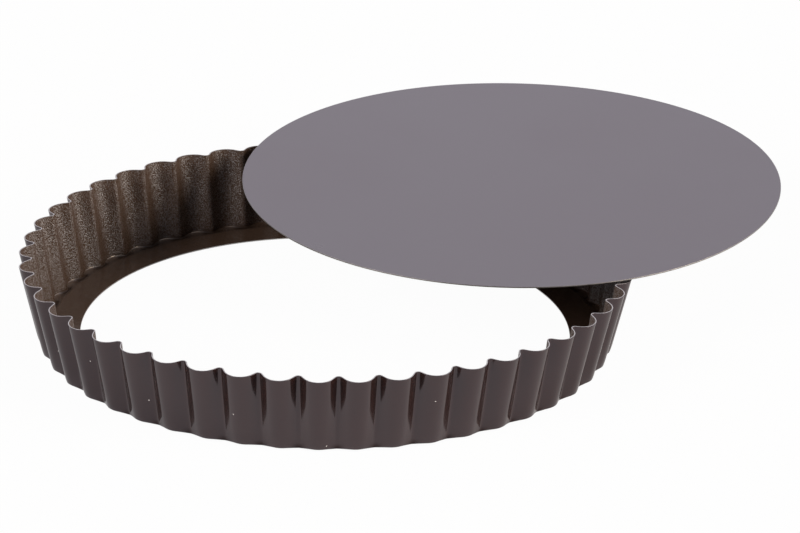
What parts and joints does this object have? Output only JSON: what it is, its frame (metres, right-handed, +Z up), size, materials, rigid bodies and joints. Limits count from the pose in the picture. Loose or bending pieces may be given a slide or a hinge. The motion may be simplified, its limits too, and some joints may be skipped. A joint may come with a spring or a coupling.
{
  "type": "fluted tart pan",
  "caption": "Round fluted tart pan: a pressed ring with a leaning fluted wall and an inward ledge, and its flat loose base lying across the rim.",
  "frame": {"origin": "middle of the part's box, on the surface that the ring stands on, with the base lying across the rim", "axes": "+Z up along the axes of the ring and the base, +X from the ring's axis towards the base's axis"},
  "size_m": [0.3922, 0.2796, 0.0386],
  "materials": {
    "ring_lacquer": "dark brown semi-gloss baked lacquer outside, speckled matt release coat inside, bare bright cut edges",
    "base_lacquer": "satin grey-brown baked lacquer on both faces, bare cut edge"
  },
  "bodies": {
    "ring": {"fluted_ring": "ring_lacquer"},
    "base": {"loose_base": "base_lacquer"}
  },
  "joints": [
    {"name": "base_lift", "type": "slide", "parent": "ring", "child": "base", "axis": [0, 0, 1], "range_m": [0, 0.08]}
  ]
}
